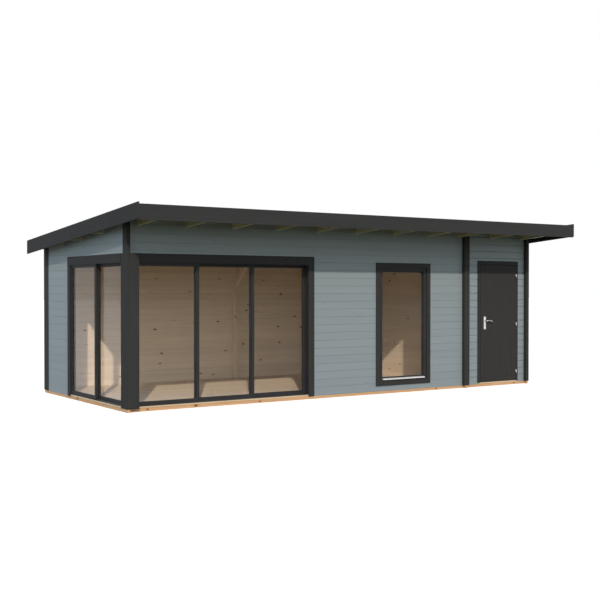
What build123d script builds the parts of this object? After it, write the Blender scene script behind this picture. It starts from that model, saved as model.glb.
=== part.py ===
from build123d import *
import math
import os

# Garden office pod: a log-built cabin with a single-pitch roof, a corner of sliding glazed
# doors, a tall fixed window and a store room with its own door. All sizes are millimetres.
# The origin is at the middle of the roof's plan, on the ground. +X runs to the right along
# the front, +Y runs to the back and +Z runs up.

# Walls and base, as seen from the front
wall_length = 7303
wall_depth = 3000
wall_thickness = 44
log_overhang = 50
base_height = 54
base_width = 70
partition_at = 5880

# Roof
left_overhang = 200
right_overhang = 241
front_overhang = 828
back_overhang = 284
roof_pitch = 4.33
eaves_height = 2550
deck_thickness = 19
covering_thickness = 5
fascia_thickness = 20
fascia_height = 197
back_fascia_height = 110
fascia_upstand = 1.5
verge_height = 207
verge_upstand = 25

# Roof timbers
purlin_width = 56
purlin_depth = 155
first_purlin_at = 700
purlin_pitch = 749
purlin_count = 3
rafter_width = 47
rafter_depth = 125
first_rafter_at = 161
room_rafter_pitch = 708
room_rafter_count = 8
store_rafter_at = 5746
store_rafter_pitch = 711
store_rafter_count = 3

# Frame across the middle of the room
frame_at = 3278
frame_width = 44
frame_post_depth = 95
tie_depth = 120
brace_depth = 95
brace_drop = 424

# Floor
floor_thickness = 18
joist_width = 45
joist_count = 9

# Sliding doors
sash_width = 937.5
sash_height = 1876
sash_thickness = 36
stile_width = 44
rail_width = 46
track_gap = 10
sash_to_face = 5.5
sash_side_gap = 5
sash_bottom_gap = 5
sash_top_gap = 6
front_doors_at = 139
side_doors_at = 127.5
front_sash_count = 3
side_sash_count = 2
jamb_width = 40
head_thickness = 33
track_plate = 4
track_rib_width = 4
track_rib_height = 12
groove_width = 16
groove_depth = 23
guide_rib_height = 14
guide_groove_depth = 14
roller_radius = 7
roller_width = 8
roller_inset = 110
axle_radius = 3
glass_thickness = 14
glass_set_back = 11
glass_rebate = 8

# Sills
sill_thickness = 12
sill_nosing = 6
sill_drop = 7

# Corner post, trims and casings
corner_post_gap = 4
trim_thickness = 10
trim_foot = 46
corner_casing_front = 166
corner_casing_side = 130
corner_casing_top = 2065
upper_trim_front = 42
upper_trim_side = 70
back_trim_width = 176
partition_trim_width = 108
casing_thickness = 16
casing_foot = 42
casing_lap = 20
slider_casing_width = 98
slider_head_lap = 15

# Fixed window
window_at = 4132
window_sill_height = 168
window_width = 986
window_height = 1784
window_frame_width = 83
window_frame_foot = 71
window_frame_show = 59
window_frame_depth = 60
window_face = 2
window_casing_width = 69.5
window_glass_depth = 24
window_glass_set_back = 12
weather_bar_drop = 28
weather_bar_height = 22
weather_bar_depth = 38
weather_bar_lip = 5.5
weather_bar_edge = 13

# Store room door
door_at = 6190
door_opening_width = 890
door_opening_height = 2040
door_left_jamb = 43
door_right_jamb = 28
door_head = 43
door_frame_depth = 70
door_stop = 15
door_thickness = 40
door_proud = 16
door_gap = 7
door_foot_gap = 7
door_casing_left = 48.5
door_casing_right = 36
door_casing_foot = 66
door_casing_head = 61.5
hinge_radius = 7
hinge_height = 51
hinge_flag = 14
hinge_flag_thickness = 3
hinge_pin_radius = 3
hinge_pin_gap = 0.05
hinge_pin_length = 18
hinge_bore_depth = 19
hinge_from_foot = 147
hinge_from_top = 170
hinge_middle_drop = 10
handle_from_edge = 90
handle_plate_width = 42
handle_plate_height = 208
handle_plate_thickness = 8
handle_plate_corner = 12.5
handle_plate_drop = 138
lever_height = 1075
lever_length = 135
lever_knee = 74
lever_radius = 8
lever_stand_off = 45
spindle_radius = 8
spindle_gap = 0.5

# Pieces that rest on each other keep this gap
seat_gap = 0.3

roof_length = left_overhang + wall_length + right_overhang
roof_depth = front_overhang + wall_depth + back_overhang
roof_slope = math.tan(math.radians(roof_pitch))
left_face = left_overhang - roof_length / 2
front_face = front_overhang - roof_depth / 2
right_face = left_face + wall_length
back_face = front_face + wall_depth


def across(distance):
    # A distance to the right of the left wall's outer face
    return left_face + distance


def deep(distance):
    # A distance behind the front wall's outer face
    return front_face + distance


def deck_under(y):
    # Height of the roof deck's underside
    return eaves_height - roof_slope * (y - front_face)


def deck_seat(y):
    # Top of every wall and timber that the deck lies on
    return deck_under(y) - seat_gap


def block(x_pair, y_pair, z_pair, mode=Mode.ADD):
    # A straight slab between two corners
    with BuildSketch(Plane.XY.offset(z_pair[0])) as plan:
        with Locations((sum(x_pair) / 2, sum(y_pair) / 2)):
            Rectangle(x_pair[1] - x_pair[0], y_pair[1] - y_pair[0])
    extrude(plan.sketch, amount=z_pair[1] - z_pair[0], mode=mode)


def plan_prism(corners, z_pair, mode=Mode.ADD):
    # An outline seen from above, carried upwards
    with BuildSketch(Plane.XY.offset(z_pair[0])) as plan:
        Polygon(*corners, align=None)
    extrude(plan.sketch, amount=z_pair[1] - z_pair[0], mode=mode)


def side_prism(corners, x_pair, mode=Mode.ADD):
    # An outline of (y, z) points seen from the side, carried along X
    with BuildSketch(Plane.YZ.offset(x_pair[0])) as profile:
        Polygon(*corners, align=None)
    extrude(profile.sketch, amount=x_pair[1] - x_pair[0], mode=mode)


def under_roof(x_pair, y_pair, foot):
    # A wall from a level foot up to the sloping deck
    corners = (
        (y_pair[0], foot),
        (y_pair[1], foot),
        (y_pair[1], deck_seat(y_pair[1])),
        (y_pair[0], deck_seat(y_pair[0])),
    )
    side_prism(corners, x_pair)


def roof_band(x_pair, y_pair, low, high):
    # A sheet that follows the roof, between two heights over the deck's underside
    corners = (
        (y_pair[0], deck_under(y_pair[0]) + low),
        (y_pair[1], deck_under(y_pair[1]) + low),
        (y_pair[1], deck_under(y_pair[1]) + high),
        (y_pair[0], deck_under(y_pair[0]) + high),
    )
    side_prism(corners, x_pair)


# Where the roof timbers lie
verge_left = across(-left_overhang)
verge_right = right_face + right_overhang
roof_front = deep(-front_overhang)
roof_back = back_face + back_overhang
timber_left = verge_left + fascia_thickness + seat_gap
timber_right = verge_right - fascia_thickness - seat_gap
timber_front = roof_front + fascia_thickness + seat_gap
timber_back = roof_back - fascia_thickness - seat_gap
purlin_fronts = [deep(first_purlin_at + purlin_pitch * i) for i in range(purlin_count)]
room_rafters = [across(first_rafter_at + room_rafter_pitch * i) for i in range(room_rafter_count)]
store_rafters = [across(store_rafter_at + store_rafter_pitch * i) for i in range(store_rafter_count)]
rafter_lefts = room_rafters + store_rafters
rafter_back = purlin_fronts[0] - seat_gap


def purlin_foot(y_front):
    return deck_seat(y_front) - purlin_depth


def cut_purlin_seats():
    # Housings in a side wall, open towards the deck
    for y_front in purlin_fronts:
        y_pair = (y_front - seat_gap, y_front + purlin_width + seat_gap)
        z_pair = (purlin_foot(y_front) - seat_gap, eaves_height)
        block((verge_left, verge_right), y_pair, z_pair, mode=Mode.SUBTRACT)


def cut_rafter_seats():
    # Housings in the front wall, open towards the deck
    y_pair = (front_face - log_overhang, front_face + wall_thickness + log_overhang)
    top = deck_under(y_pair[0]) + deck_thickness
    for x_left in rafter_lefts:
        corners = (
            (y_pair[0], deck_seat(y_pair[0]) - rafter_depth - seat_gap),
            (y_pair[1], deck_seat(y_pair[1]) - rafter_depth - seat_gap),
            (y_pair[1], top),
            (y_pair[0], top),
        )
        x_pair = (x_left - seat_gap, x_left + rafter_width + seat_gap)
        side_prism(corners, x_pair, mode=Mode.SUBTRACT)


# Heights of the door and window openings
sill_top = base_height + sill_thickness
sash_foot = sill_top + track_plate + sash_bottom_gap
sash_top = sash_foot + sash_height
slider_head_foot = sash_top + sash_top_gap
slider_head_top = slider_head_foot + head_thickness
slider_casing_foot = slider_head_foot - slider_head_lap
floor_top = base_height + floor_thickness

# Plan of the sliding doors
track_pitch = sash_thickness + track_gap
sash_step = sash_width - stile_width
front_frame_depth = 2 * sash_to_face + front_sash_count * track_pitch - track_gap
side_frame_depth = 2 * sash_to_face + side_sash_count * track_pitch - track_gap
front_doors_length = sash_width + sash_step * (front_sash_count - 1)
side_doors_length = sash_width + sash_step * (side_sash_count - 1)
front_inner = (
    across(front_doors_at - sash_side_gap),
    across(front_doors_at + front_doors_length + sash_side_gap),
)
side_inner = (
    deep(side_doors_at - sash_side_gap),
    deep(side_doors_at + side_doors_length + sash_side_gap),
)
front_outer = (front_inner[0] - jamb_width, front_inner[1] + jamb_width)
side_outer = (side_inner[0] - jamb_width, side_inner[1] + jamb_width)
front_frame_y = (front_face, front_face + front_frame_depth)
side_frame_x = (left_face, left_face + side_frame_depth)

# Plan of the window, the partition and the door
partition_left = across(partition_at)
partition_right = partition_left + wall_thickness
window_x = (across(window_at), across(window_at + window_width))
window_z = (window_sill_height, window_sill_height + window_height)
door_x = (across(door_at), across(door_at + door_opening_width))
front_wall_y = (front_face, front_face + wall_thickness)
back_wall_y = (back_face - wall_thickness, back_face)
left_wall_x = (left_face, left_face + wall_thickness)
right_wall_x = (right_face - wall_thickness, right_face)
log_ends_y = (front_face - log_overhang, back_face + log_overhang)
room_x = (left_wall_x[1], partition_left)
store_x = (partition_right, right_wall_x[0])
room_y = (front_wall_y[1], back_wall_y[0])

# Base: two long beams between three cross beams, with joists let in between
with BuildPart() as base_cross_beams:
    for x_left in (left_face, partition_left, right_wall_x[0]):
        block((x_left, x_left + wall_thickness), log_ends_y, (0, base_height))

with BuildPart() as base_long_beams:
    for y_pair in ((front_face, front_face + base_width), (back_face - base_width, back_face)):
        for x_pair in (room_x, store_x):
            block(x_pair, y_pair, (0, base_height))

joist_y = (front_face + base_width, back_face - base_width)
joist_pitch = wall_length / (joist_count + 1)
with BuildPart() as floor_joists:
    for i in range(joist_count):
        x_middle = left_face + joist_pitch * (i + 1)
        x_pair = (x_middle - joist_width / 2, x_middle + joist_width / 2)
        if x_pair[1] < partition_left or x_pair[0] > partition_right:
            block(x_pair, joist_y, (0, base_height))

with BuildPart() as floors:
    floor_z = (base_height, floor_top)
    for x_pair in (room_x, store_x):
        block(x_pair, room_y, floor_z)
    front_cut = (front_outer[1] + seat_gap, front_face + front_frame_depth + seat_gap)
    side_cut = (left_face + side_frame_depth + seat_gap, side_outer[1] + seat_gap)
    door_cut_y = (room_y[0], front_face + door_frame_depth + seat_gap)
    door_cut_x = (door_x[0] - seat_gap, door_x[1] + seat_gap)
    block((room_x[0], front_cut[0]), (room_y[0], front_cut[1]), floor_z, mode=Mode.SUBTRACT)
    block((room_x[0], side_cut[0]), (room_y[0], side_cut[1]), floor_z, mode=Mode.SUBTRACT)
    block(door_cut_x, door_cut_y, floor_z, mode=Mode.SUBTRACT)

# Front wall, split beside and over the openings that people walk through
with BuildPart() as front_wall_over_doors:
    under_roof((left_wall_x[1], front_outer[1]), front_wall_y, slider_head_top)
    cut_rafter_seats()

with BuildPart() as front_wall_centre:
    under_roof((front_outer[1], partition_left), front_wall_y, base_height)
    block(window_x, front_wall_y, window_z, mode=Mode.SUBTRACT)
    cut_rafter_seats()

with BuildPart() as front_walls_beside_store_door:
    for x_pair in ((partition_right, door_x[0]), (door_x[1], right_wall_x[0])):
        under_roof(x_pair, front_wall_y, base_height)
    cut_rafter_seats()

with BuildPart() as front_wall_over_store_door:
    under_roof(door_x, front_wall_y, door_opening_height)
    cut_rafter_seats()

# Side walls and partition, whose log ends run out past the front and back walls
with BuildPart() as left_wall_over_doors:
    under_roof(left_wall_x, (log_ends_y[0], side_outer[1]), slider_head_top)
    cut_purlin_seats()

with BuildPart() as left_wall_back:
    under_roof(left_wall_x, (side_outer[1], log_ends_y[1]), base_height)
    cut_purlin_seats()

with BuildPart() as right_wall:
    under_roof(right_wall_x, log_ends_y, base_height)
    cut_purlin_seats()

with BuildPart() as partition_wall:
    under_roof((partition_left, partition_right), log_ends_y, base_height)
    cut_purlin_seats()

with BuildPart() as back_walls:
    for x_pair in (room_x, store_x):
        under_roof(x_pair, back_wall_y, base_height)

# Roof timbers, deck, covering and edge boards
with BuildPart() as purlins:
    for y_front in purlin_fronts:
        under_roof((timber_left, timber_right), (y_front, y_front + purlin_width), purlin_foot(y_front))

with BuildPart() as eaves_rafters:
    for x_left in rafter_lefts:
        roof_band(
            (x_left, x_left + rafter_width),
            (timber_front, rafter_back),
            -seat_gap - rafter_depth,
            -seat_gap,
        )

with BuildPart() as roof_deck:
    roof_band((timber_left, timber_right), (timber_front, timber_back), 0, deck_thickness)

surface = deck_thickness + covering_thickness
with BuildPart() as roof_covering:
    roof_band((timber_left, timber_right), (timber_front, timber_back), deck_thickness, surface)

fascia_x = (verge_left + fascia_thickness, verge_right - fascia_thickness)
verge_top = surface + verge_upstand
with BuildPart() as fascia_boards:
    for y_front, height in (
        (roof_front, fascia_height),
        (roof_back - fascia_thickness, back_fascia_height),
    ):
        fascia_top = deck_under(y_front) + surface + fascia_upstand
        y_pair = (y_front, y_front + fascia_thickness)
        block(fascia_x, y_pair, (fascia_top - height, fascia_top))

with BuildPart() as verge_boards:
    for x_left in (verge_left, verge_right - fascia_thickness):
        x_pair = (x_left, x_left + fascia_thickness)
        roof_band(x_pair, (roof_front, roof_back), verge_top - verge_height, verge_top)

# Frame across the room: posts, a tie under the purlins and a knee brace at each post
frame_x = (across(frame_at), across(frame_at + frame_width))
post_fronts = (room_y[0], room_y[1] - frame_post_depth)


def tie_top(y):
    return deck_seat(y) - purlin_depth - roof_slope * purlin_width


def tie_foot(y):
    return tie_top(y) - tie_depth


with BuildPart() as frame_tie:
    tie_corners = (
        (room_y[0], tie_foot(room_y[0])),
        (room_y[1], tie_foot(room_y[1])),
        (room_y[1], tie_top(room_y[1])),
        (room_y[0], tie_top(room_y[0])),
    )
    side_prism(tie_corners, frame_x)

with BuildPart() as frame_posts:
    for y_front in post_fronts:
        y_back = y_front + frame_post_depth
        post_corners = (
            (y_front, floor_top),
            (y_back, floor_top),
            (y_back, tie_foot(y_back) - seat_gap),
            (y_front, tie_foot(y_front) - seat_gap),
        )
        side_prism(post_corners, frame_x)


def brace_reach(toward, rise):
    # Distance along Y at which a 45 degree edge, starting that far under the tie, meets it
    return rise / (1 + toward * roof_slope)


with BuildPart() as knee_braces:
    brace_side = brace_depth * math.sqrt(2)
    for y_post, toward in ((post_fronts[0] + frame_post_depth, 1), (post_fronts[1], -1)):
        y_foot = y_post + toward * seat_gap
        brace_top = tie_foot(y_foot) - seat_gap
        low = brace_reach(toward, brace_drop)
        high = brace_reach(toward, brace_drop - brace_side)
        brace_corners = (
            (y_foot, brace_top - brace_drop),
            (y_foot + toward * low, brace_top - brace_drop + low),
            (y_foot + toward * high, brace_top - brace_drop + brace_side + high),
            (y_foot, brace_top - brace_drop + brace_side),
        )
        side_prism(brace_corners, frame_x)

# Corner post between the two runs of sliding doors
post_x = (left_face, front_outer[0] - corner_post_gap)
post_y = (front_face - log_overhang, side_outer[0] - seat_gap)
with BuildPart() as corner_post:
    block(post_x, post_y, (base_height, slider_head_top - seat_gap))

# Trims over the log ends
casing_corner = (left_face - trim_thickness, front_face - log_overhang - trim_thickness)
with BuildPart() as log_end_trims:
    front_edge = across(corner_casing_front)
    side_edge = deep(corner_casing_side)
    inner_y = front_face - log_overhang
    lower_trim = (
        casing_corner,
        (front_edge, casing_corner[1]),
        (front_edge, front_face),
        (front_edge - trim_thickness, front_face),
        (front_edge - trim_thickness, inner_y),
        (left_face, inner_y),
        (left_face, side_edge),
        (casing_corner[0], side_edge),
    )
    plan_prism(lower_trim, (trim_foot, corner_casing_top))
    upper_front = across(upper_trim_front)
    upper_side = deep(upper_trim_side)
    upper_top = deck_seat(upper_side)
    upper_trim = (
        casing_corner,
        (upper_front, casing_corner[1]),
        (upper_front, inner_y),
        (left_face, inner_y),
        (left_face, upper_side),
        (casing_corner[0], upper_side),
    )
    plan_prism(upper_trim, (corner_casing_top, upper_top))

    outer_back = back_face + log_overhang + trim_thickness
    for face, outward in ((left_face, -1), (right_face, 1)):
        inner = face - outward * wall_thickness
        trim_out = face + outward * trim_thickness
        back_trim = (
            (trim_out, outer_back - back_trim_width),
            (trim_out, outer_back),
            (inner, outer_back),
            (inner, outer_back - trim_thickness),
            (face, outer_back - trim_thickness),
            (face, outer_back - back_trim_width),
        )
        plan_prism(back_trim, (trim_foot, deck_seat(outer_back)))

    right_in = right_wall_x[0] - trim_thickness
    right_out = right_face + trim_thickness
    right_trim = (
        (right_in, casing_corner[1]),
        (right_out, casing_corner[1]),
        (right_out, upper_side),
        (right_face, upper_side),
        (right_face, inner_y),
        (right_wall_x[0], inner_y),
        (right_wall_x[0], front_face),
        (right_in, front_face),
    )
    plan_prism(right_trim, (trim_foot, deck_seat(upper_side)))

    partition_middle = (partition_left + partition_right) / 2
    half_trim = partition_trim_width / 2
    for face, outward in ((front_face, -1), (back_face, 1)):
        log_end = face + outward * log_overhang
        trim_end = log_end + outward * trim_thickness
        partition_trim = (
            (partition_middle - half_trim, face),
            (partition_middle - half_trim, trim_end),
            (partition_middle + half_trim, trim_end),
            (partition_middle + half_trim, face),
            (partition_right, face),
            (partition_right, log_end),
            (partition_left, log_end),
            (partition_left, face),
        )
        plan_prism(partition_trim, (trim_foot, deck_seat(max(face, trim_end))))

# Casings round the openings, on the outer wall faces
window_lap = window_frame_width - window_frame_show
door_inner_x = (door_x[0] + door_left_jamb, door_x[1] - door_right_jamb)
door_inner_top = door_opening_height - door_head
casing_y = (front_face - casing_thickness, front_face)
casing_x = (left_face - casing_thickness, left_face)
with BuildPart() as opening_casings:
    front_casing_right = (front_inner[1] - casing_lap, front_inner[1] - casing_lap + slider_casing_width)
    head_pair = (slider_casing_foot, corner_casing_top)
    block((across(corner_casing_front), front_casing_right[1]), casing_y, head_pair)
    block(front_casing_right, casing_y, (casing_foot, slider_casing_foot))
    side_casing_back = (side_inner[1] - casing_lap, side_inner[1] - casing_lap + slider_casing_width)
    block(casing_x, (deep(corner_casing_side), side_casing_back[1]), head_pair)
    block(casing_x, side_casing_back, (casing_foot, slider_casing_foot))

    casing_in_x = (window_x[0] + window_lap, window_x[1] - window_lap)
    casing_in_z = (window_z[0] + window_lap, window_z[1] - window_lap)
    casing_out_x = (casing_in_x[0] - window_casing_width, casing_in_x[1] + window_casing_width)
    casing_out_z = (casing_in_z[0] - window_casing_width, casing_in_z[1] + window_casing_width)
    block(casing_out_x, casing_y, casing_out_z)
    block(casing_in_x, casing_y, casing_in_z, mode=Mode.SUBTRACT)

    left_pair = (door_inner_x[0] - door_casing_left, door_inner_x[0])
    right_pair = (door_inner_x[1] + door_gap, door_inner_x[1] + door_gap + door_casing_right)
    block((left_pair[0], right_pair[1]), casing_y, (door_inner_top, door_inner_top + door_casing_head))
    block(left_pair, casing_y, (door_casing_foot, door_inner_top))
    block(right_pair, casing_y, (door_casing_foot, door_inner_top))

# Sills, with a nosing that laps over the base beam
with BuildPart() as sills:
    block(front_outer, front_frame_y, (base_height, sill_top))
    nosing_y = (front_face - sill_nosing, front_face)
    block(
        (across(corner_casing_front), front_casing_right[0]),
        nosing_y,
        (base_height - sill_drop, sill_top),
    )

    block(side_frame_x, side_outer, (base_height, sill_top))
    nosing_x = (left_face - sill_nosing, left_face)
    block(
        nosing_x,
        (deep(corner_casing_side), side_casing_back[0]),
        (base_height - sill_drop, sill_top),
    )

    door_frame_y = (front_face, front_face + door_frame_depth)
    block(door_x, door_frame_y, (base_height, sill_top))
    block((door_inner_x[0], door_inner_x[1]), nosing_y, (base_height - sill_drop, sill_top))

# Tracks: a plate with a rib for each sash at the foot and a guide rib for each at the head
rib_middle = sash_to_face + sash_thickness / 2
rib_foot = sill_top + track_plate
rib_top = rib_foot + track_rib_height

with BuildPart() as slider_tracks:
    block(front_inner, front_frame_y, (sill_top, rib_foot))
    for i in range(front_sash_count):
        y_middle = front_face + rib_middle + track_pitch * i
        y_pair = (y_middle - track_rib_width / 2, y_middle + track_rib_width / 2)
        block(front_inner, y_pair, (rib_foot, rib_top))
        block(front_inner, y_pair, (slider_head_foot - guide_rib_height, slider_head_foot))

    block(side_frame_x, side_inner, (sill_top, rib_foot))
    for i in range(side_sash_count):
        x_middle = left_face + rib_middle + track_pitch * i
        x_pair = (x_middle - track_rib_width / 2, x_middle + track_rib_width / 2)
        block(x_pair, side_inner, (rib_foot, rib_top))
        block(x_pair, side_inner, (slider_head_foot - guide_rib_height, slider_head_foot))

# Frames round the sliding doors and the store room door, which shuts against a stop
jamb_z = (sill_top, slider_head_foot - seat_gap)
head_z = (slider_head_foot, slider_head_top - seat_gap)
leaf_x = (door_inner_x[0] + door_gap, door_inner_x[1])
leaf_y = (front_face - door_proud, front_face - door_proud + door_thickness)
leaf_z = (sill_top + door_foot_gap, door_inner_top - door_gap)
stop_y = (leaf_y[1] + door_gap, door_frame_y[1])
right_jamb = door_inner_x[1] + door_gap
with BuildPart() as slider_frames:
    for x_pair in ((front_outer[0], front_inner[0]), (front_inner[1], front_outer[1])):
        block(x_pair, front_frame_y, jamb_z)
    for y_pair in ((side_outer[0], side_inner[0]), (side_inner[1], side_outer[1])):
        block(side_frame_x, y_pair, jamb_z)
    block(front_outer, front_frame_y, head_z)
    block(side_frame_x, side_outer, head_z)

with BuildPart() as store_door_frame:
    for x_pair in ((door_x[0], door_inner_x[0]), (right_jamb, door_x[1])):
        block(x_pair, door_frame_y, (sill_top, door_inner_top - seat_gap))
    for x_pair in ((door_inner_x[0], door_inner_x[0] + door_stop), (right_jamb - door_stop, right_jamb)):
        block(x_pair, stop_y, (sill_top, door_inner_top - door_stop - seat_gap))
    block(door_x, door_frame_y, (door_inner_top, door_opening_height - seat_gap))
    head_stop_x = (door_inner_x[0] + seat_gap, right_jamb - seat_gap)
    block(head_stop_x, stop_y, (door_inner_top - door_stop, door_inner_top))


def sash_outline(left, face_plane, margin):
    # A rectangle inside the sash's outer edge, drawn on its outer face
    with BuildSketch(face_plane) as outline:
        with Locations((left + sash_width / 2, sash_foot + sash_height / 2)):
            Rectangle(sash_width - 2 * margin[0], sash_height - 2 * margin[1])
    return outline.sketch


def sash(left, face_plane, inward, rolls):
    # One sliding-door sash: four members, a groove over its track rib, one under the guide
    # rib and, where it moves, two rollers on axles across the lower groove
    extrude(sash_outline(left, face_plane, (0, 0)), amount=inward * sash_thickness)
    opening = sash_outline(left, face_plane, (stile_width, rail_width))
    extrude(opening, amount=inward * sash_thickness, mode=Mode.SUBTRACT)
    pocket_plane = face_plane.offset(inward * glass_set_back)
    pocket = sash_outline(left, pocket_plane, (stile_width - glass_rebate, rail_width - glass_rebate))
    extrude(pocket, amount=inward * glass_thickness, mode=Mode.SUBTRACT)

    middle = left + sash_width / 2
    groove_plane = face_plane.offset(inward * (sash_thickness - groove_width) / 2)
    low_depth = groove_depth if rolls else rib_top + seat_gap - sash_foot
    low_groove = (low_depth, sash_foot + low_depth / 2)
    top_groove = (guide_groove_depth, sash_top - guide_groove_depth / 2)
    for depth, height in (low_groove, top_groove):
        with BuildSketch(groove_plane) as groove:
            with Locations((middle, height)):
                Rectangle(sash_width, depth)
        extrude(groove.sketch, amount=inward * groove_width, mode=Mode.SUBTRACT)
    if rolls:
        axle_height = rib_top + seat_gap + roller_radius
        spots = [(middle + side * (sash_width / 2 - roller_inset), axle_height) for side in (-1, 1)]
        wheel_plane = face_plane.offset(inward * (sash_thickness - roller_width) / 2)
        for plane, radius, width in (
            (groove_plane, axle_radius, groove_width),
            (wheel_plane, roller_radius, roller_width),
        ):
            with BuildSketch(plane) as wheels:
                with Locations(*spots):
                    Circle(radius)
            extrude(wheels.sketch, amount=inward * width)


def sash_glass(left, face_plane, inward):
    # The sealed glass unit, which fills the sash's rebate
    pane_plane = face_plane.offset(inward * glass_set_back)
    pane_margin = (stile_width - glass_rebate + seat_gap, rail_width - glass_rebate + seat_gap)
    extrude(sash_outline(left, pane_plane, pane_margin), amount=inward * glass_thickness)


def front_plane(i):
    return Plane.XZ.offset(-(front_face + sash_to_face + track_pitch * i))


def side_plane(i):
    return Plane.YZ.offset(left_face + sash_to_face + track_pitch * i)


# The sash nearest the corner is fixed. In front the others slide behind it, and at the side
# the other one slides past it on the outer track
front_lefts = [across(front_doors_at) + sash_step * i for i in range(front_sash_count)]
side_lefts = [deep(side_doors_at) + sash_step * i for i in range(side_sash_count)]
front_planes = [front_plane(i) for i in range(front_sash_count)]
side_planes = [side_plane(i) for i in range(side_sash_count)]

with BuildPart() as fixed_sashes:
    sash(front_lefts[0], front_planes[0], -1, False)
    sash(side_lefts[0], side_planes[1], 1, False)

with BuildPart() as fixed_sash_glass:
    sash_glass(front_lefts[0], front_planes[0], -1)
    sash_glass(side_lefts[0], side_planes[1], 1)

with BuildPart() as front_middle_sash:
    sash(front_lefts[1], front_planes[1], -1, True)

with BuildPart() as front_middle_glass:
    sash_glass(front_lefts[1], front_planes[1], -1)

with BuildPart() as front_right_sash:
    sash(front_lefts[2], front_planes[2], -1, True)

with BuildPart() as front_right_glass:
    sash_glass(front_lefts[2], front_planes[2], -1)

with BuildPart() as side_sliding_sash:
    sash(side_lefts[1], side_planes[0], 1, True)

with BuildPart() as side_sliding_glass:
    sash_glass(side_lefts[1], side_planes[0], 1)

# Fixed window
window_frame_y = (front_face + window_face, front_face + window_face + window_frame_depth)
window_out_x = (window_x[0] + seat_gap, window_x[1] - seat_gap)
window_out_z = (window_z[0] + seat_gap, window_z[1] - seat_gap)
window_in_x = (window_x[0] + window_frame_width, window_x[1] - window_frame_width)
window_in_z = (window_z[0] + window_frame_foot, window_z[1] - window_frame_width)
window_glass_y = (
    window_frame_y[0] + window_glass_set_back,
    window_frame_y[0] + window_glass_set_back + window_glass_depth,
)
with BuildPart() as window_frame:
    block(window_out_x, window_frame_y, window_out_z)
    block(window_in_x, window_frame_y, window_in_z, mode=Mode.SUBTRACT)
    rebate_x = (window_in_x[0] - glass_rebate, window_in_x[1] + glass_rebate)
    rebate_z = (window_in_z[0] - glass_rebate, window_in_z[1] + glass_rebate)
    block(rebate_x, window_glass_y, rebate_z, mode=Mode.SUBTRACT)

with BuildPart() as window_glass:
    pane_x = (rebate_x[0] + seat_gap, rebate_x[1] - seat_gap)
    pane_z = (rebate_z[0] + seat_gap, rebate_z[1] - seat_gap)
    block(pane_x, window_glass_y, pane_z)

with BuildPart() as window_weather_bar:
    bar_back = window_frame_y[0] - seat_gap
    bar_foot = window_in_z[0] - weather_bar_drop
    bar_top = bar_foot + weather_bar_height
    bar_profile = (
        (bar_back, bar_foot),
        (bar_back, bar_top),
        (bar_back - weather_bar_lip, bar_top),
        (bar_back - weather_bar_depth, bar_foot + weather_bar_edge),
        (bar_back - weather_bar_depth, bar_foot),
    )
    side_prism(bar_profile, window_in_x)

# Store room door
hinge_x = leaf_x[1] + door_gap / 2
handle_x = leaf_x[0] + handle_from_edge
handle_plate_foot = lever_height - handle_plate_drop
handle_plate_z = (handle_plate_foot, handle_plate_foot + handle_plate_height)
with BuildPart() as door_leaf:
    block(leaf_x, leaf_y, leaf_z)
    with BuildSketch(Plane.XZ.offset(-leaf_y[1])) as spindle_hole:
        with Locations((handle_x, lever_height)):
            Circle(spindle_radius + spindle_gap)
    extrude(spindle_hole.sketch, amount=door_thickness, mode=Mode.SUBTRACT)

hinge_y = leaf_y[0] - hinge_radius - seat_gap
flag_y = (leaf_y[0] - seat_gap - hinge_flag_thickness, leaf_y[0] - seat_gap)


def hinge_barrel(z_low, height, radius, mode=Mode.ADD):
    with BuildSketch(Plane.XY.offset(z_low)) as ring:
        with Locations((hinge_x, hinge_y)):
            Circle(radius)
    extrude(ring.sketch, amount=height, mode=mode)


# Lift-off hinges: the lower half carries the pin, the upper half turns on it
half_hinge = hinge_height / 2
low_hinge = leaf_z[0] + hinge_from_foot
top_hinge = leaf_z[1] - hinge_from_top
middle_hinge = (low_hinge + top_hinge) / 2 - hinge_middle_drop
hinge_levels = (low_hinge, middle_hinge, top_hinge)
with BuildPart() as hinge_pins:
    for level in hinge_levels:
        hinge_barrel(level - half_hinge, half_hinge - seat_gap, hinge_radius)
        hinge_barrel(level - seat_gap, hinge_pin_length, hinge_pin_radius)
        block((hinge_x, hinge_x + hinge_flag), flag_y, (level - half_hinge, level - seat_gap))

with BuildPart() as hinge_sockets:
    for level in hinge_levels:
        hinge_barrel(level, half_hinge, hinge_radius)
        block((hinge_x - hinge_flag, hinge_x), flag_y, (level, level + half_hinge))
        hinge_barrel(level, hinge_bore_depth, hinge_pin_radius + hinge_pin_gap, mode=Mode.SUBTRACT)


# Handle: a rounded plate on each face, and two levers on one spindle
def handle_plate(y_pair):
    with BuildSketch(Plane.XZ.offset(-y_pair[1])) as outline:
        with Locations((handle_x, sum(handle_plate_z) / 2)):
            RectangleRounded(handle_plate_width, handle_plate_height, handle_plate_corner)
        with Locations((handle_x, lever_height)):
            Circle(spindle_radius + spindle_gap, mode=Mode.SUBTRACT)
    extrude(outline.sketch, amount=y_pair[1] - y_pair[0])


front_plate_y = (leaf_y[0] - seat_gap - handle_plate_thickness, leaf_y[0] - seat_gap)
back_plate_y = (leaf_y[1] + seat_gap, leaf_y[1] + seat_gap + handle_plate_thickness)
with BuildPart() as handle_plates:
    handle_plate(front_plate_y)
    handle_plate(back_plate_y)


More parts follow.
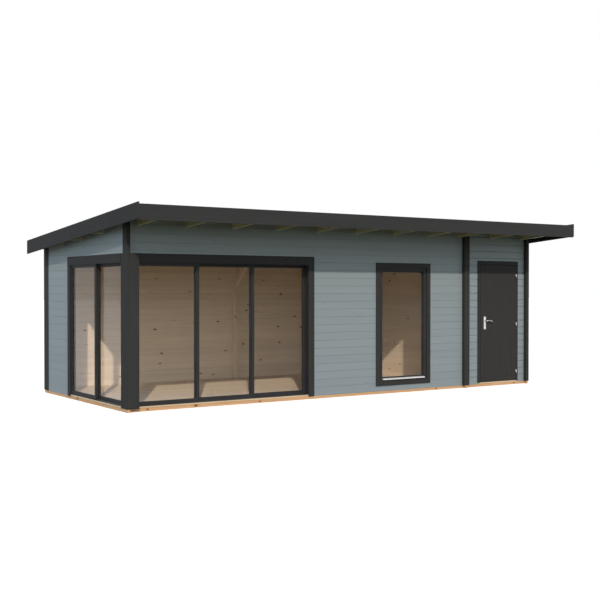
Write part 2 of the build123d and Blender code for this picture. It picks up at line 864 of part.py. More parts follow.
def lever_path(y_plate, outward):
    # Out from the plate, round a bend and along the door, drooping a little at the tip
    y_grip = y_plate + outward * lever_stand_off
    bend = lever_stand_off / 2
    with BuildLine() as path:
        start = (handle_x, y_plate, lever_height)
        turn = (handle_x, y_grip, lever_height)
        middle = (handle_x + lever_knee, y_grip, lever_height + lever_radius)
        tip = (handle_x + lever_length - lever_radius, y_grip, lever_height - lever_radius)
        FilletPolyline(start, turn, middle, tip, radius=bend)
    return path


with BuildPart() as door_levers:
    spindle_y = (front_plate_y[0], back_plate_y[1])
    with BuildSketch(Plane.XZ.offset(-spindle_y[1])) as spindle:
        with Locations((handle_x, lever_height)):
            Circle(spindle_radius)
    extrude(spindle.sketch, amount=spindle_y[1] - spindle_y[0])
    for y_plate, outward in ((spindle_y[0], -1), (spindle_y[1], 1)):
        path = lever_path(y_plate, outward)
        with BuildSketch(Plane(path.line @ 0, z_dir=path.line % 0)) as grip:
            Circle(lever_radius)
        sweep(grip.sketch, path=path.line)

pieces = {
    "base_cross_beams": base_cross_beams,
    "base_long_beams": base_long_beams,
    "floor_joists": floor_joists,
    "floors": floors,
    "front_wall_over_doors": front_wall_over_doors,
    "front_wall_centre": front_wall_centre,
    "front_walls_beside_store_door": front_walls_beside_store_door,
    "front_wall_over_store_door": front_wall_over_store_door,
    "left_wall_over_doors": left_wall_over_doors,
    "left_wall_back": left_wall_back,
    "right_wall": right_wall,
    "partition_wall": partition_wall,
    "back_walls": back_walls,
    "purlins": purlins,
    "eaves_rafters": eaves_rafters,
    "roof_deck": roof_deck,
    "roof_covering": roof_covering,
    "fascia_boards": fascia_boards,
    "verge_boards": verge_boards,
    "frame_tie": frame_tie,
    "frame_posts": frame_posts,
    "knee_braces": knee_braces,
    "corner_post": corner_post,
    "log_end_trims": log_end_trims,
    "opening_casings": opening_casings,
    "sills": sills,
    "slider_tracks": slider_tracks,
    "slider_frames": slider_frames,
    "store_door_frame": store_door_frame,
    "fixed_sashes": fixed_sashes,
    "fixed_sash_glass": fixed_sash_glass,
    "front_middle_sash": front_middle_sash,
    "front_middle_glass": front_middle_glass,
    "front_right_sash": front_right_sash,
    "front_right_glass": front_right_glass,
    "side_sliding_sash": side_sliding_sash,
    "side_sliding_glass": side_sliding_glass,
    "window_frame": window_frame,
    "window_glass": window_glass,
    "window_weather_bar": window_weather_bar,
    "door_leaf": door_leaf,
    "hinge_pins": hinge_pins,
    "hinge_sockets": hinge_sockets,
    "handle_plates": handle_plates,
    "door_levers": door_levers,
}

os.makedirs("parts", exist_ok=True)
for name, piece in pieces.items():
    piece.part.label = name
    export_step(piece.part, os.path.join("parts", name + ".step"))
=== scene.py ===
import math
import bmesh
import bpy
import numpy as np
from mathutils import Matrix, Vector


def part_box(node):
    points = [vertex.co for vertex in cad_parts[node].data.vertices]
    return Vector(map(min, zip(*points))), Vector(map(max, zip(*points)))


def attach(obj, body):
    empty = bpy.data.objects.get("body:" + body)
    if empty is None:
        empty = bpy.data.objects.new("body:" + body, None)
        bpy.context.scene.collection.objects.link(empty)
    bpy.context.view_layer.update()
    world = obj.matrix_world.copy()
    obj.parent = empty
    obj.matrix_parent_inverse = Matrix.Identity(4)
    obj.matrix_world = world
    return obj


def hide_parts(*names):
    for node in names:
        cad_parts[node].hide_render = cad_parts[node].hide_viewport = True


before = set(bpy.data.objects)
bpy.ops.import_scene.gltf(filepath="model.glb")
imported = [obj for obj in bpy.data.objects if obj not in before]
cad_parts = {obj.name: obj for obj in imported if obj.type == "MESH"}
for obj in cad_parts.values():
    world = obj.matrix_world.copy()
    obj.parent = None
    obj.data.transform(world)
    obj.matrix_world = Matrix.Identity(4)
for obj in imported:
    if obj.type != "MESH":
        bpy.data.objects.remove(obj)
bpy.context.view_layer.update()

scene = bpy.context.scene
scene.view_settings.view_transform = "Standard"
print("frame loaded with", len(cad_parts), "nodes")

# The camera stands at eye height, off the glazed corner
viewpoint = {
    "place": (-8.9541, -13.2377, 1.6061),
    "turn": (math.pi / 2 - 0.0115, 0.0, -0.5869),
    "lens": 60.08,
    "sensor": 36.0,
}
cameraData = bpy.data.cameras.new("camera")
camera = bpy.data.objects.new("camera", cameraData)
scene.collection.objects.link(camera)
camera.location = viewpoint["place"]
camera.rotation_euler = viewpoint["turn"]
cameraData.lens = viewpoint["lens"]
cameraData.sensor_width = viewpoint["sensor"]
scene.camera = camera
print("camera set")


def addNode(tree, kind, inputs=None, **settings):
    # An input is linked where a socket is given for it, and set where a plain value is given
    made = tree.nodes.new(kind)
    for key, value in settings.items():
        setattr(made, key, value)
    for key, value in (inputs or {}).items():
        if isinstance(value, bpy.types.NodeSocket):
            tree.links.new(value, made.inputs[key])
        else:
            made.inputs[key].default_value = value
    return made


def maths(tree, operation, *values):
    made = addNode(tree, "ShaderNodeMath", dict(enumerate(values)), operation=operation)
    return made.outputs[0]


def mixColours(tree, factor, first, second, blend="MIX"):
    # In its colour mode the factor is input 0, and the two colours are inputs 6 and 7
    inputs = {0: factor, 6: first, 7: second}
    mixer = addNode(tree, "ShaderNodeMix", inputs, data_type="RGBA", blend_type=blend)
    return mixer.outputs[2]


def spread(tree, value, source, target=(0.0, 1.0)):
    # Carries a value from one range to another, and holds it at both ends
    inputs = {"Value": value, "From Min": source[0], "From Max": source[1]}
    inputs.update({"To Min": target[0], "To Max": target[1]})
    return addNode(tree, "ShaderNodeMapRange", inputs, clamp=True).outputs[0]


def newGroup(name, takes, gives):
    group = bpy.data.node_groups.new(name, "ShaderNodeTree")
    for label, kind, value in takes:
        socket = group.interface.new_socket(
            name=label, in_out="INPUT", socket_type="NodeSocket" + kind)
        if value is not None:
            socket.default_value = value
    for label, kind in gives:
        group.interface.new_socket(
            name=label, in_out="OUTPUT", socket_type="NodeSocket" + kind)
    return group, group.nodes.new("NodeGroupInput"), group.nodes.new("NodeGroupOutput")


boardWork = {"pitch": 0.114, "shift": 23.0}  # metres, and the most that a board's grain moves


def makeBoards():
    # Splits a surface into boards of one pitch along the third axis. Shade is a chance value
    # for each board, Vector moves along the grain by it, and Edge is the way to the next joint
    tree, takes, gives = newGroup(
        "boards",
        (("Vector", "Vector", None), ("Pitch", "Float", boardWork["pitch"]),
         ("Start", "Float", 0.0)),
        (("Vector", "Vector"), ("Shade", "Float"), ("Edge", "Float")),
    )
    pitch = takes.outputs["Pitch"]
    parts = addNode(tree, "ShaderNodeSeparateXYZ", {0: takes.outputs["Vector"]})
    rise = maths(tree, "SUBTRACT", parts.outputs[2], takes.outputs["Start"])
    count = maths(tree, "DIVIDE", rise, pitch)
    index = maths(tree, "FLOOR", count)
    share = maths(tree, "SUBTRACT", count, index)
    nearer = maths(tree, "MINIMUM", share, maths(tree, "SUBTRACT", 1.0, share))
    chance = addNode(tree, "ShaderNodeTexWhiteNoise", {"W": index}, noise_dimensions="1D")
    shade = chance.outputs["Value"]
    moved = maths(tree, "MULTIPLY_ADD", shade, boardWork["shift"], parts.outputs[0])
    inputs = {0: moved, 1: parts.outputs[1], 2: parts.outputs[2]}
    shifted = addNode(tree, "ShaderNodeCombineXYZ", inputs)
    tree.links.new(shifted.outputs[0], gives.inputs["Vector"])
    tree.links.new(shade, gives.inputs["Shade"])
    tree.links.new(maths(tree, "MULTIPLY", nearer, pitch), gives.inputs["Edge"])
    return tree


grainWork = {
    "cells": (4.2, 2.0, 8.77),  # places for a knot in a metre, along, through and across
    "scatter": 0.8,
    "knotRim": (0.15, 0.09),
    "haloRim": (0.4, 0.12),
    "haloTone": 0.45,
    "bend": 1.4,  # how far the streaks go round a knot
    "streaks": (0.9, 16.0, 26.0),
    "streakLook": {"Scale": 1.0, "Detail": 4.0, "Roughness": 0.55, "Distortion": 0.5},
    "figure": (0.32, 0.68),
    "fibre": (6.0, 260.0, 260.0),
    "fibreLook": {"Scale": 1.0, "Detail": 2.0},
    "shares": (0.75, 0.25),  # of the streaks and of the fibre in the tone
    "rises": (0.5, 0.5, 0.6),  # of the streaks and the fibre, and the drop of a knot
}


def makeGrain():
    # Long streaks along the first axis, fine fibre over them, and scattered oval knots
    tree, takes, gives = newGroup(
        "grain",
        (("Vector", "Vector", None), ("Light", "Color", None), ("Dark", "Color", None),
         ("Knot", "Color", None), ("Knots", "Float", 0.5)),
        (("Color", "Color"), ("Height", "Float")),
    )

    def scaled(factors):
        inputs = {0: takes.outputs["Vector"], "Scale": factors}
        return addNode(tree, "ShaderNodeMapping", inputs).outputs[0]

    def times(first, second):
        return maths(tree, "MULTIPLY", first, second)

    inputs = {0: scaled(grainWork["cells"]), "Scale": 1.0, "Randomness": grainWork["scatter"]}
    cell = addNode(tree, "ShaderNodeTexVoronoi", inputs, voronoi_dimensions="3D")
    chance = addNode(tree, "ShaderNodeSeparateColor", {0: cell.outputs["Color"]})
    chosen = maths(tree, "LESS_THAN", chance.outputs[0], takes.outputs["Knots"])
    knot = times(spread(tree, cell.outputs["Distance"], grainWork["knotRim"]), chosen)
    halo = times(spread(tree, cell.outputs["Distance"], grainWork["haloRim"]), chosen)
    bend = addNode(tree, "ShaderNodeCombineXYZ", {2: times(halo, grainWork["bend"])})
    inputs = {0: scaled(grainWork["streaks"]), 1: bend.outputs[0]}
    bent = addNode(tree, "ShaderNodeVectorMath", inputs, operation="ADD")
    inputs = {0: bent.outputs[0], **grainWork["streakLook"]}
    streaks = addNode(tree, "ShaderNodeTexNoise", inputs).outputs[0]
    inputs = {0: scaled(grainWork["fibre"]), **grainWork["fibreLook"]}
    fibre = addNode(tree, "ShaderNodeTexNoise", inputs).outputs[0]
    figure = spread(tree, streaks, grainWork["figure"])

    figureShare, fibreShare = grainWork["shares"]
    tone = maths(tree, "ADD", times(figure, figureShare), times(fibre, fibreShare))
    timberTone = mixColours(tree, tone, takes.outputs["Light"], takes.outputs["Dark"])
    ringShare = times(halo, grainWork["haloTone"])
    ringTone = mixColours(tree, ringShare, timberTone, takes.outputs["Dark"])
    tree.links.new(mixColours(tree, knot, ringTone, takes.outputs["Knot"]), gives.inputs["Color"])

    figureRise, fibreRise, knotDrop = grainWork["rises"]
    height = maths(tree, "SUBTRACT", times(fibre, fibreRise), times(knot, knotDrop))
    height = maths(tree, "MULTIPLY_ADD", figure, figureRise, height)
    tree.links.new(height, gives.inputs["Height"])
    return tree


boardGroup = makeBoards()
grainGroup = makeGrain()


def linear(red, green, blue):
    # Screen tones of 0 to 255 as the linear colour that a shader takes
    tones = (np.array((red, green, blue)) / 255.0 + 0.055) / 1.055
    return tuple(float(tone) for tone in tones**2.4) + (1.0,)


def newMaterial(name):
    material = bpy.data.materials.new(name)
    material.use_nodes = True
    tree = material.node_tree
    shader = tree.nodes["Principled BSDF"]
    return material, tree, shader


def surface(tree, shader, colour, height, strength, depth):
    inputs = {"Height": height, "Strength": strength, "Distance": depth}
    bump = addNode(tree, "ShaderNodeBump", inputs)
    tree.links.new(colour, shader.inputs["Base Color"])
    tree.links.new(bump.outputs[0], shader.inputs["Normal"])


timberWork = {"heights": (0.2, 0.9), "roughSpan": 0.06, "bumpDepth": 0.002}


def timber(name, spec):
    # Boarded timber: the letters in axes are the object axes along the grain, through the
    # board and across the boards. Where a room is given, by the middle and the half of its
    # depth, the timber is bare inside it and painted past it
    material, tree, shader = newMaterial(name)
    place = addNode(tree, "ShaderNodeTexCoord").outputs["Object"]
    axes = addNode(tree, "ShaderNodeSeparateXYZ", {0: place})
    order = {i: axes.outputs["xyz".index(letter)] for i, letter in enumerate(spec["axes"])}
    turned = addNode(tree, "ShaderNodeCombineXYZ", order)
    inputs = {"Vector": turned.outputs[0], "Pitch": spec["pitch"], "Start": spec["start"]}
    boards = addNode(tree, "ShaderNodeGroup", inputs, node_tree=boardGroup)
    inputs = {"Vector": boards.outputs["Vector"], "Light": spec["light"], "Dark": spec["dark"],
              "Knot": spec["knot"], "Knots": spec["knots"]}
    grain = addNode(tree, "ShaderNodeGroup", inputs, node_tree=grainGroup)
    reach = (1.0 - spec["vary"], 1.0 + spec["vary"])
    shade = spread(tree, boards.outputs["Shade"], (0.0, 1.0), reach)
    # Painted shade in the grooves: the colour darkens towards each board joint, down to the joint
    # tone, within the joint width of the spec. It stands in for the shade in the V groove, over a
    # slightly dark joint
    joint = spread(tree, boards.outputs["Edge"], (0.0, spec["joint"]), (spec["jointShadeTone"], 1.0))
    level = maths(tree, "MULTIPLY", shade, joint)
    boardToneAndJointShade = addNode(tree, "ShaderNodeCombineColor", {0: level, 1: level, 2: level})
    colour = mixColours(tree, 1.0, grain.outputs["Color"], boardToneAndJointShade.outputs[0], "MULTIPLY")
    if "room" in spec:
        indoors = maths(tree, "COMPARE", axes.outputs[1], *spec["room"])
        colour = mixColours(tree, indoors, paintTone, colour)
    span = timberWork["roughSpan"]
    roughness = (spec["rough"] + span, spec["rough"] - span)
    rough = spread(tree, grain.outputs["Height"], timberWork["heights"], roughness)
    tree.links.new(rough, shader.inputs["Roughness"])
    shader.inputs["Specular IOR Level"].default_value = spec["gloss"]
    surface(tree, shader, colour, grain.outputs["Height"], spec["bump"], timberWork["bumpDepth"])
    return material


coatWork = {
    "cloud": {"Scale": 2.2, "Detail": 3.0}, "peelDetail": 2.0, "shade": 0.88,
    "middle": (0.3, 0.7), "roughSpan": 0.05, "bumpDepth": 0.0005,
}


def coated(name, spec):
    # A plain coated finish, a little uneven in tone, with a faint orange-peel surface
    material, tree, shader = newMaterial(name)
    place = addNode(tree, "ShaderNodeTexCoord").outputs["Object"]
    cloud = addNode(tree, "ShaderNodeTexNoise", {0: place, **coatWork["cloud"]}).outputs[0]
    inputs = {0: place, "Scale": spec["grit"], "Detail": coatWork["peelDetail"]}
    peel = addNode(tree, "ShaderNodeTexNoise", inputs).outputs[0]
    dark = tuple(coatWork["shade"] * tone for tone in spec["colour"][:3]) + (1.0,)
    colour = mixColours(tree, spread(tree, cloud, coatWork["middle"]), dark, spec["colour"])
    span = coatWork["roughSpan"]
    roughness = (spec["rough"] - span, spec["rough"] + span)
    tree.links.new(spread(tree, peel, coatWork["middle"], roughness), shader.inputs["Roughness"])
    shader.inputs["Metallic"].default_value = spec["metal"]
    shader.inputs["Specular IOR Level"].default_value = spec["gloss"]
    surface(tree, shader, colour, peel, spec["bump"], coatWork["bumpDepth"])
    return material


sheetLook = {
    "granules": 420.0, "specks": (0.55, 1.0), "patches": {"Scale": 1.3, "Detail": 4.0},
    "patchRange": (0.3, 0.7), "patchShare": (0.0, 0.4), "tone": linear(52, 53, 55),
    "speckTone": linear(98, 100, 102), "patchTone": linear(44, 45, 47), "rough": 0.9,
    "bump": 0.5, "bumpDepth": 0.001,
}


def roofSheet(name, spec):
    # Mineral roofing: dark granules with paler specks
    material, tree, shader = newMaterial(name)
    place = addNode(tree, "ShaderNodeTexCoord").outputs["Object"]
    inputs = {0: place, "Scale": spec["granules"]}
    granules = addNode(tree, "ShaderNodeTexVoronoi", inputs, voronoi_dimensions="3D")
    chance = addNode(tree, "ShaderNodeSeparateColor", {0: granules.outputs["Color"]})
    patches = addNode(tree, "ShaderNodeTexNoise", {0: place, **spec["patches"]})
    specks = spread(tree, chance.outputs[0], spec["specks"])
    speckled = mixColours(tree, specks, spec["tone"], spec["speckTone"])
    worn = spread(tree, patches.outputs[0], spec["patchRange"], spec["patchShare"])
    colour = mixColours(tree, worn, speckled, spec["patchTone"])
    shader.inputs["Roughness"].default_value = spec["rough"]
    height = granules.outputs["Distance"]
    surface(tree, shader, colour, height, spec["bump"], spec["bumpDepth"])
    return material


paneLook = {"tone": (0.95, 0.97, 0.96, 1.0), "index": 1.15, "clear": (0.97, 0.98, 0.97, 1.0)}


def paneGlass(name, spec):
    # Clear glass that lets the light through for shadows, so that the room is lit
    material, tree, shader = newMaterial(name)
    shader.inputs["Base Color"].default_value = spec["tone"]
    shader.inputs["Roughness"].default_value = 0.0
    shader.inputs["IOR"].default_value = spec["index"]
    shader.inputs["Transmission Weight"].default_value = 1.0
    rays = addNode(tree, "ShaderNodeLightPath").outputs
    passing = maths(tree, "MAXIMUM", rays["Is Shadow Ray"], rays["Is Diffuse Ray"])
    clear = addNode(tree, "ShaderNodeBsdfTransparent", {"Color": spec["clear"]})
    inputs = {0: passing, 1: shader.outputs[0], 2: clear.outputs[0]}
    mixed = addNode(tree, "ShaderNodeMixShader", inputs)
    tree.links.new(mixed.outputs[0], tree.nodes["Material Output"].inputs["Surface"])
    return material


# Logs, and the deeper joints of the walls beside and over the store room door
logWork = {"pitch": 0.114, "start": 0.0465, "chamfer": 0.0042, "depth": 0.0036, "inset": 0.0003}
openLogWork = dict(logWork, chamfer=0.0055, depth=0.009)

# Timber finishes. A pitch of 10 m leaves a beam or a trim whole, without a board joint
# The joint width is how far from each joint the colour is darkened, as painted shade in the groove
logJoints = {"pitch": logWork["pitch"], "start": logWork["start"], "joint": 0.005}
wholePiece = {"pitch": 10.0, "start": -5.0, "vary": 0.0, "joint": 0.0001, "jointShadeTone": 1.0}
paintTone = linear(140, 153, 157)
logPaint = {
    **logJoints, "vary": 0.02, "jointShadeTone": 0.88, "light": paintTone,
    "dark": linear(135, 148, 152), "knot": linear(132, 144, 148), "knots": 0.3,
    "rough": 0.6, "bump": 0.3, "gloss": 0.25,
}
pine = {
    **logJoints, "vary": 0.04, "jointShadeTone": 0.85, "light": linear(231, 214, 193),
    "dark": linear(218, 197, 173), "knot": linear(132, 96, 70), "knots": 0.3,
    "rough": 0.6, "bump": 0.3, "gloss": 0.3,
}
charcoal = {
    **wholePiece, "light": linear(61, 62, 62), "dark": linear(56, 57, 57),
    "knot": linear(52, 53, 53), "knots": 0.1, "rough": 0.6, "bump": 0.35, "gloss": 0.02,
}
baseWood = {
    **wholePiece, "light": linear(219, 180, 137), "dark": linear(197, 152, 108),
    "knot": linear(110, 66, 34), "knots": 0.3, "rough": 0.6, "bump": 0.35, "gloss": 0.25,
}
eavesWood = dict(
    baseWood, light=linear(202, 202, 176), dark=linear(182, 180, 150), knot=linear(96, 74, 44))
wholePine = dict(pine, pitch=wholePiece["pitch"], start=wholePiece["start"])
floorBoards = dict(pine, pitch=0.121, start=0.0)
roofBoards = dict(
    pine, pitch=0.112, start=0.0, light=linear(206, 190, 156), dark=linear(186, 168, 130))
sillBoard = dict(baseWood, light=linear(226, 206, 172), dark=linear(206, 182, 144))
doorBoards = dict(charcoal, light=linear(61, 61, 60), dark=linear(57, 57, 56))
plainKnot = dict(baseWood, light=linear(122, 78, 46), dark=linear(92, 52, 28), knots=0.0)
plainRing = dict(baseWood, light=linear(184, 134, 88), dark=linear(164, 112, 70), knots=0.0)

paintAlongX = timber("log paint along X", dict(logPaint, axes="xyz"))
paintAlongY = timber("log paint along Y", dict(logPaint, axes="yxz"))
pineAlongX = timber("pine logs along X", dict(pine, axes="xyz"))
frontMiddle, backMiddle = (
    sum(corner.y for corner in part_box(node)) / 2 for node in ("front_wall_centre", "back_walls"))
roomReach = ((frontMiddle + backMiddle) / 2, (backMiddle - frontMiddle) / 2)
pineAlongY = timber("pine logs along Y", dict(pine, axes="yxz", room=roomReach))
floorPine = timber("pine floor", dict(floorBoards, axes="xzy"))
deckPine = timber("pine roof boards", dict(roofBoards, axes="yzx"))
beamAlongX = timber("pine beam along X", dict(eavesWood, axes="xyz"))
beamAlongY = timber("pine beam along Y", dict(eavesWood, axes="yxz"))
pineBeam = timber("pine tie", dict(wholePine, axes="yxz"))
beamUpright = timber("pine post", dict(wholePine, axes="zyx"))
baseAlongX = timber("base timber along X", dict(baseWood, axes="xyz"))
baseAlongY = timber("base timber along Y", dict(baseWood, axes="yxz"))
sillWood = timber("sill timber", dict(sillBoard, axes="xyz"))
knotWood = timber("dark knot", dict(plainKnot, axes="xyz"))
knotRing = timber("knot ring", dict(plainRing, axes="xyz"))
charcoalUpright = timber("charcoal trim", dict(charcoal, axes="zyx"))
charcoalAlongX = timber("charcoal board along X", dict(charcoal, axes="xyz"))
charcoalAlongY = timber("charcoal board along Y", dict(charcoal, axes="yxz"))
doorPaint = timber("door paint", dict(doorBoards, axes="zyx"))

coat = {"metal": 0.0, "gloss": 0.5}
frameCoat = coated("charcoal frame", {
    **coat, "colour": linear(58, 59, 60), "grit": 900.0, "rough": 0.45, "bump": 0.15,
    "gloss": 0.03})
trackMetal = coated("dark track", {
    **coat, "colour": linear(70, 71, 72), "grit": 700.0, "rough": 0.35, "bump": 0.1,
    "metal": 0.9})
whiteGloss = coated("white gloss", {
    **coat, "colour": linear(236, 238, 238), "grit": 300.0, "rough": 0.25, "bump": 0.05})
hingeSteel = coated("zinc hinge", {
    **coat, "colour": linear(206, 208, 208), "grit": 500.0, "rough": 0.35, "bump": 0.1,
    "metal": 0.3})
leverSteel = coated("satin lever", {
    **coat, "colour": linear(176, 178, 180), "grit": 600.0, "rough": 0.3, "bump": 0.1,
    "metal": 0.9})
gasketRubber = coated("black gasket", {
    **coat, "colour": linear(26, 26, 27), "grit": 500.0, "rough": 0.7, "bump": 0.2,
    "gloss": 0.3})
roofing = roofSheet("roof sheet", sheetLook)
glass = paneGlass("pane glass", paneLook)
print("materials made")


def meshPiece(name, solid, *materials):
    # A new object from the points and faces of a solid, with its faces turned outwards
    points, faces = solid
    mesh = bpy.data.meshes.new(name)
    mesh.from_pydata(np.asarray(points, float).tolist(), [], [list(face) for face in faces])
    shape = bmesh.new()
    shape.from_mesh(mesh)
    bmesh.ops.recalc_face_normals(shape, faces=shape.faces)
    shape.to_mesh(mesh)
    shape.free()
    piece = bpy.data.objects.new(name, mesh)
    scene.collection.objects.link(piece)
    for material in materials:
        mesh.materials.append(material)
    return piece


def paintFaces(piece, materials, picks):
    # Gives a piece its materials, and each face the one whose number is picked for it
    mesh = piece.data
    mesh.materials.clear()
    for material in materials:
        mesh.materials.append(material)
    mesh.polygons.foreach_set("material_index", np.asarray(picks, np.int32))
    mesh.update()


def settle(piece, body, slot, *replaced):
    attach(piece, body)
    if replaced:
        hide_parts(*replaced)
    return piece


mergeWork = {"reach": 0.00002, "turn": 0.001}  # metres between corners, radians between faces


def mergedCopy(node):
    # A welded copy of a CAD node, to cut or to cut with
    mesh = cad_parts[node].data.copy()
    shape = bmesh.new()
    shape.from_mesh(mesh)
    bmesh.ops.remove_doubles(shape, verts=shape.verts, dist=mergeWork["reach"])
    bmesh.ops.dissolve_limit(
        shape, angle_limit=mergeWork["turn"], verts=shape.verts, edges=shape.edges)
    shape.to_mesh(mesh)
    shape.free()
    copy = bpy.data.objects.new("copy " + node, mesh)
    scene.collection.objects.link(copy)
    return copy


def carve(piece, tool, operation):
    # Keeps or cuts away what a second solid covers, and leaves a plain mesh
    cut = piece.modifiers.new("carve", "BOOLEAN")
    cut.operation = operation
    cut.solver = "EXACT"
    cut.object = tool
    bpy.context.view_layer.update()
    settled = piece.evaluated_get(bpy.context.evaluated_depsgraph_get())
    carved = bpy.data.meshes.new_from_object(settled)
    piece.modifiers.clear()
    piece.data = carved
    bpy.data.objects.remove(tool)
    return piece


def prism(outline, ends, plane, along):
    # An outline drawn in the two axes of plane, carried straight along the third axis. Its
    # n corners are points 0 to n - 1 at the first end and points n to 2n - 1 at the other
    count = len(outline)
    points = np.zeros((2, count, 3))
    points[:, :, plane] = outline
    points[:, :, along] = np.reshape(ends, (2, 1))
    corners = np.arange(count)
    following = (corners + 1) % count
    sides = np.stack((corners, following, following + count, corners + count), axis=1)
    faces = sides.tolist() + [corners.tolist(), (corners + count).tolist()]
    return points.reshape(-1, 3), faces


def joined(solids):
    # Several solids as one: the corners of each are numbered on from those before it
    points = np.concatenate([corners for corners, faces in solids])
    starts = np.cumsum([0] + [len(corners) for corners, faces in solids]).tolist()
    faces = [[start + corner for corner in face]
             for start, solid in zip(starts, solids) for face in solid[1]]
    return points, faces


def jointPlaces(low, high, spec, keepOff):
    # Joints between two ends, none nearer to an end than a share of a board
    first = math.ceil((low - spec["start"]) / spec["pitch"] + keepOff)
    last = math.floor((high - spec["start"]) / spec["pitch"] - keepOff)
    return spec["start"] + spec["pitch"] * np.arange(first, last + 1)


def grooveLine(joints, spec):
    # A face with a V at each joint: level a chamfer to each side of it, and deepest in it
    levels = (joints[:, None] + np.array((-1, 0, 1)) * spec["chamfer"]).ravel()
    dips = np.tile(np.array((0.0, spec["depth"], 0.0)), len(joints))
    return levels, dips


slabWork = {"margin": 0.02, "keepOff": 0.02, "bareFrom": 0.001}


def groovedSlab(node, across, up, spec, bothFaces=True):
    # A slab whose faces have a V groove at each board joint, kept inside the CAD solid.
    # The outline steps up one face through every groove and comes down the other
    low, high = (np.array(corner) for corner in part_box(node))
    along = 3 - across - up
    margin = slabWork["margin"]
    levels, dips = grooveLine(jointPlaces(low[up], high[up], spec, slabWork["keepOff"]), spec)
    levels = np.concatenate(([low[up] - margin], levels, [high[up] + margin]))
    dips = np.concatenate(([0.0], dips, [0.0]))
    near = np.stack((low[across] + spec["inset"] + dips, levels), axis=1)
    far = np.stack((high[across] - spec["inset"] - dips, levels), axis=1)
    if not bothFaces:
        near = near[[0, -1]]
    ends = (low[along] - margin, high[along] + margin)
    solid = prism(np.concatenate((near, far[::-1])), ends, [across, up], along)
    return carve(meshPiece("logs_" + node, solid), mergedCopy(node), "INTERSECT")


# Walls, painted outside and bare inside: the axis through each wall, and the way to the room
# along it. The bare side starts just past the middle, and the partition is bare all through
walls = {
    "front_wall_over_doors": (1, 1),
    "front_wall_centre": (1, 1),
    "front_walls_beside_store_door": (1, 1),
    "front_wall_over_store_door": (1, 1),
    "back_walls": (1, -1),
    "left_wall_over_doors": (0, 1),
    "left_wall_back": (0, 1),
    "right_wall": (0, -1),
    "partition_wall": (0, 0),
}
for node, (across, inward) in walls.items():
    slab = groovedSlab(node, across, 2, openLogWork if "store" in node else logWork)
    low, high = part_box(node)
    centres = np.zeros(len(slab.data.polygons) * 3)
    slab.data.polygons.foreach_get("center", centres)
    inside = (centres[across::3] - (low[across] + high[across]) / 2) * inward
    picks = inside > slabWork["bareFrom"] if inward else np.ones(len(inside))
    sides = (paintAlongX, pineAlongX) if across == 1 else (paintAlongY, pineAlongY)
    paintFaces(slab, sides, picks)
    settle(slab, "building", "painted_logs" if inward else "inner_timber", node)
print("walls grooved")

# The lowest log laps down over the base beam, with a bevelled drip edge. Each run is the
# stretch between two trims
lipWork = {
    "foot": 0.040, "top": 0.056, "proud": 0.0015, "bevel": 0.003, "back": 0.001, "off": 0.0002,
}
lips = {
    "front_wall_centre": (1, -1, ((-0.725, 2.17),)),
    "front_walls_beside_store_door": (1, -1, ((2.29, 2.512), (3.425, 3.58))),
    "left_wall_back": (0, -1, ((0.815, 1.655),)),
    "right_wall": (0, 1, ((-1.27, 1.655),)),
    "back_walls": (1, 1, ((-3.62, 3.53),)),
}
foot, top = lipWork["foot"], lipWork["top"]
lipLevels = (foot, foot + lipWork["bevel"], top - lipWork["bevel"], top, top, foot)
lipReach = np.array(
    (0.0, lipWork["proud"], lipWork["proud"], 0.0, -lipWork["back"], -lipWork["back"]))
for node, (across, outward, runs) in lips.items():
    low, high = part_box(node)
    face = high[across] if outward > 0 else low[across]
    outline = np.stack((face + outward * (lipReach + lipWork["off"]), lipLevels), axis=1)
    paint = paintAlongX if across == 1 else paintAlongY
    for count, run in enumerate(runs):
        solid = prism(outline, run, [across, 2], 1 - across)
        lip = meshPiece("lip_" + node + "_" + str(count), solid, paint)
        settle(lip, "building", "painted_logs")

# Floor boards with narrow joints on top
floorWork = {
    "pitch": floorBoards["pitch"], "start": floorBoards["start"], "chamfer": 0.0015,
    "depth": 0.0015, "inset": 0.0002,
}
boards = groovedSlab("floors", 2, 1, floorWork, bothFaces=False)
boards.data.materials.append(floorPine)
settle(boards, "building", "inner_timber", "floors")

# Roof boards run down the slope, with a V joint between them on the underside
deckWork = {
    "pitch": roofBoards["pitch"], "start": roofBoards["start"], "chamfer": 0.0045,
    "depth": 0.004, "thickness": 0.019, "covering": 0.005, "keepOff": 0.1,
}
deckLow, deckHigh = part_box("roof_deck")
deckSlope = (deckHigh.z - deckWork["thickness"] - deckLow.z) / (deckHigh.y - deckLow.y)


def onSlope(solid):
    # Lifts a solid onto the slope of the roof: height 0 is the underside of the roof boards,
    # which is highest at the front and falls evenly to the back
    points, faces = solid
    points[:, 2] += deckHigh.z - deckWork["thickness"] - deckSlope * (points[:, 1] - deckLow.y)
    return points, faces


joints = jointPlaces(deckLow.x, deckHigh.x, deckWork, deckWork["keepOff"])
underX, underRise = grooveLine(joints, deckWork)
outline = np.stack((
    np.concatenate(([deckLow.x], underX, [deckHigh.x, deckHigh.x, deckLow.x])),
    np.concatenate(([0.0], underRise, [0.0, deckWork["thickness"], deckWork["thickness"]])),
), axis=1)
solid = onSlope(prism(outline, (deckLow.y, deckHigh.y), [0, 2], 1))
settle(meshPiece("roof_boards", solid, deckPine), "building", "inner_timber", "roof_deck")

